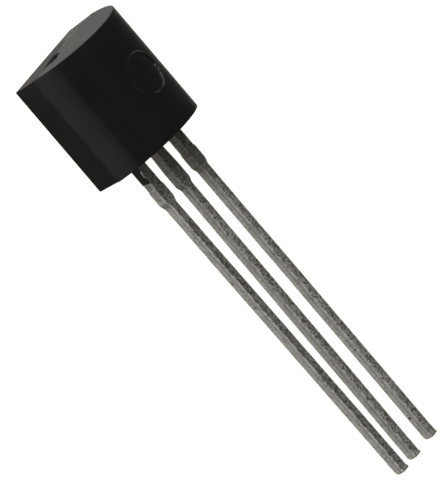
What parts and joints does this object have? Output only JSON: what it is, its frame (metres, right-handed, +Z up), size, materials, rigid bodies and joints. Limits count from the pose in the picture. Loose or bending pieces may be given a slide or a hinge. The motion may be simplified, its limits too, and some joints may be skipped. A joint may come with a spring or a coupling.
{
  "type": "transistor",
  "caption": "Small-signal transistor: black moulded D-shaped body with a marking flat, round back and a row of tinned leads for soldering through a board.",
  "frame": {"origin": "middle of the lead row on the underside of the body, the plane that faces the circuit board", "axes": "+Z up through the body, away from the lead tips; the leads stand in a row along X; the marking flat faces -Y and the round back faces +Y"},
  "size_m": [0.0046, 0.0035, 0.0191],
  "materials": {
    "moulding": "black filled epoxy moulding, satin",
    "tinned_lead": "dull electroplated tin over copper alloy",
    "silicon": "polished silicon",
    "solder": "soft solder",
    "gold_wire": "drawn gold"
  },
  "bodies": {
    "root": {"body": "moulding", "emitter_lead": "tinned_lead", "collector_lead": "tinned_lead", "base_lead": "tinned_lead", "die": "silicon", "die_attach": "solder", "emitter_bond_wire": "gold_wire", "base_bond_wire": "gold_wire"}
  },
  "joints": []
}
